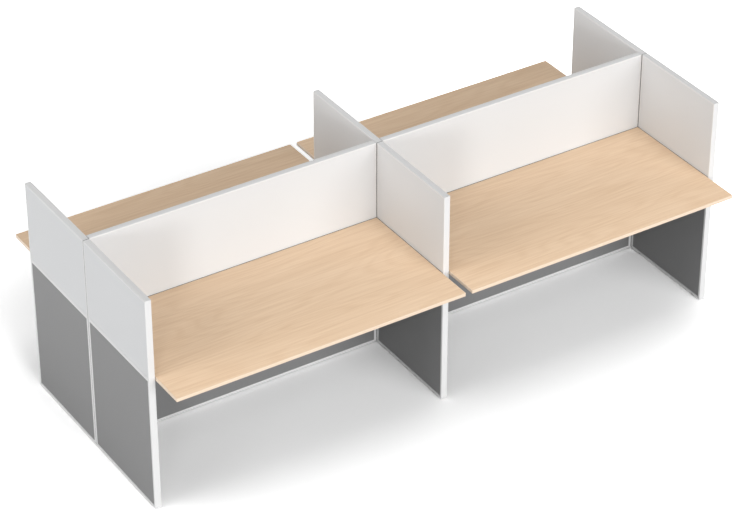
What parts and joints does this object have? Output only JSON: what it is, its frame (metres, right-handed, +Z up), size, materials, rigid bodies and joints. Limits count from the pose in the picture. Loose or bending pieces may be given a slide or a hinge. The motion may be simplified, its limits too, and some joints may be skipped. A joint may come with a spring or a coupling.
{
  "type": "benching desk",
  "caption": "Double-sided benching desk with light wood worktops along a low spine wall, divided by cross walls with white screens over grey panels.",
  "frame": {"origin": "on the floor, under the middle of the spine wall and of the middle cross wall", "axes": "+X along the spine, +Y from the front worktops to the back ones, +Z up"},
  "size_m": [3.309, 1.639, 1.204],
  "materials": {
    "white_frame": "satin white powder coat",
    "white_panel": "matte white laminate",
    "grey_panel": "matte grey laminate",
    "worktop": "satin light maple laminate",
    "joining_strip": "matte",
    "bracket": "satin grey powder coat",
    "foot": "matte black"
  },
  "bodies": {
    "bench": {"lower_frame_spine_left": "white_frame", "lower_panel_spine_left": "grey_panel", "upper_frame_spine_left": "white_frame", "upper_panel_spine_left": "white_panel", "lower_frame_spine_right": "white_frame", "lower_panel_spine_right": "grey_panel", "upper_frame_spine_right": "white_frame", "upper_panel_spine_right": "white_panel", "lower_frame_wing_left_front": "white_frame", "lower_panel_wing_left_front": "grey_panel", "upper_frame_wing_left_front": "white_frame", "upper_panel_wing_left_front": "white_panel", "lower_frame_wing_left_back": "white_frame", "lower_panel_wing_left_back": "grey_panel", "upper_frame_wing_left_back": "white_frame", "upper_panel_wing_left_back": "white_panel", "lower_frame_wing_mid_front": "white_frame", "lower_panel_wing_mid_front": "grey_panel", "upper_frame_wing_mid_front": "white_frame", "upper_panel_wing_mid_front": "white_panel", "lower_frame_wing_mid_back": "white_frame", "lower_panel_wing_mid_back": "grey_panel", "upper_frame_wing_mid_back": "white_frame", "upper_panel_wing_mid_back": "white_panel", "lower_frame_wing_right_front": "white_frame", "lower_panel_wing_right_front": "grey_panel", "upper_frame_wing_right_front": "white_frame", "upper_panel_wing_right_front": "white_panel", "lower_frame_wing_right_back": "white_frame", "lower_panel_wing_right_back": "grey_panel", "upper_frame_wing_right_back": "white_frame", "upper_panel_wing_right_back": "white_panel", "joining_strip_spine_left_left": "joining_strip", "joining_strip_spine_left_right": "joining_strip", "joining_strip_spine_right_left": "joining_strip", "joining_strip_spine_right_right": "joining_strip", "joining_strip_seam_left": "joining_strip", "joining_strip_seam_mid": "joining_strip", "joining_strip_seam_right": "joining_strip", "worktop_left_front": "worktop", "bracket_left_front_left": "bracket", "bracket_left_front_right": "bracket", "worktop_left_back": "worktop", "bracket_left_back_left": "bracket", "bracket_left_back_right": "bracket", "worktop_right_front": "worktop", "bracket_right_front_left": "bracket", "bracket_right_front_right": "bracket", "worktop_right_back": "worktop", "bracket_right_back_left": "bracket", "bracket_right_back_right": "bracket"},
    "foot_left_front": {"foot_left_front": "foot"},
    "foot_left_seam": {"foot_left_seam": "foot"},
    "foot_left_back": {"foot_left_back": "foot"},
    "foot_mid_front": {"foot_mid_front": "foot"},
    "foot_mid_seam": {"foot_mid_seam": "foot"},
    "foot_mid_back": {"foot_mid_back": "foot"},
    "foot_right_front": {"foot_right_front": "foot"},
    "foot_right_seam": {"foot_right_seam": "foot"},
    "foot_right_back": {"foot_right_back": "foot"}
  },
  "joints": [
    {"name": "foot_left_front_screw", "type": "slide", "parent": "bench", "child": "foot_left_front", "axis": [0, 0, -1], "range_m": [0, 0.012]},
    {"name": "foot_left_seam_screw", "type": "slide", "parent": "bench", "child": "foot_left_seam", "axis": [0, 0, -1], "range_m": [0, 0.012]},
    {"name": "foot_left_back_screw", "type": "slide", "parent": "bench", "child": "foot_left_back", "axis": [0, 0, -1], "range_m": [0, 0.012]},
    {"name": "foot_mid_front_screw", "type": "slide", "parent": "bench", "child": "foot_mid_front", "axis": [0, 0, -1], "range_m": [0, 0.012]},
    {"name": "foot_mid_seam_screw", "type": "slide", "parent": "bench", "child": "foot_mid_seam", "axis": [0, 0, -1], "range_m": [0, 0.012]},
    {"name": "foot_mid_back_screw", "type": "slide", "parent": "bench", "child": "foot_mid_back", "axis": [0, 0, -1], "range_m": [0, 0.012]},
    {"name": "foot_right_front_screw", "type": "slide", "parent": "bench", "child": "foot_right_front", "axis": [0, 0, -1], "range_m": [0, 0.012]},
    {"name": "foot_right_seam_screw", "type": "slide", "parent": "bench", "child": "foot_right_seam", "axis": [0, 0, -1], "range_m": [0, 0.012]},
    {"name": "foot_right_back_screw", "type": "slide", "parent": "bench", "child": "foot_right_back", "axis": [0, 0, -1], "range_m": [0, 0.012]}
  ]
}
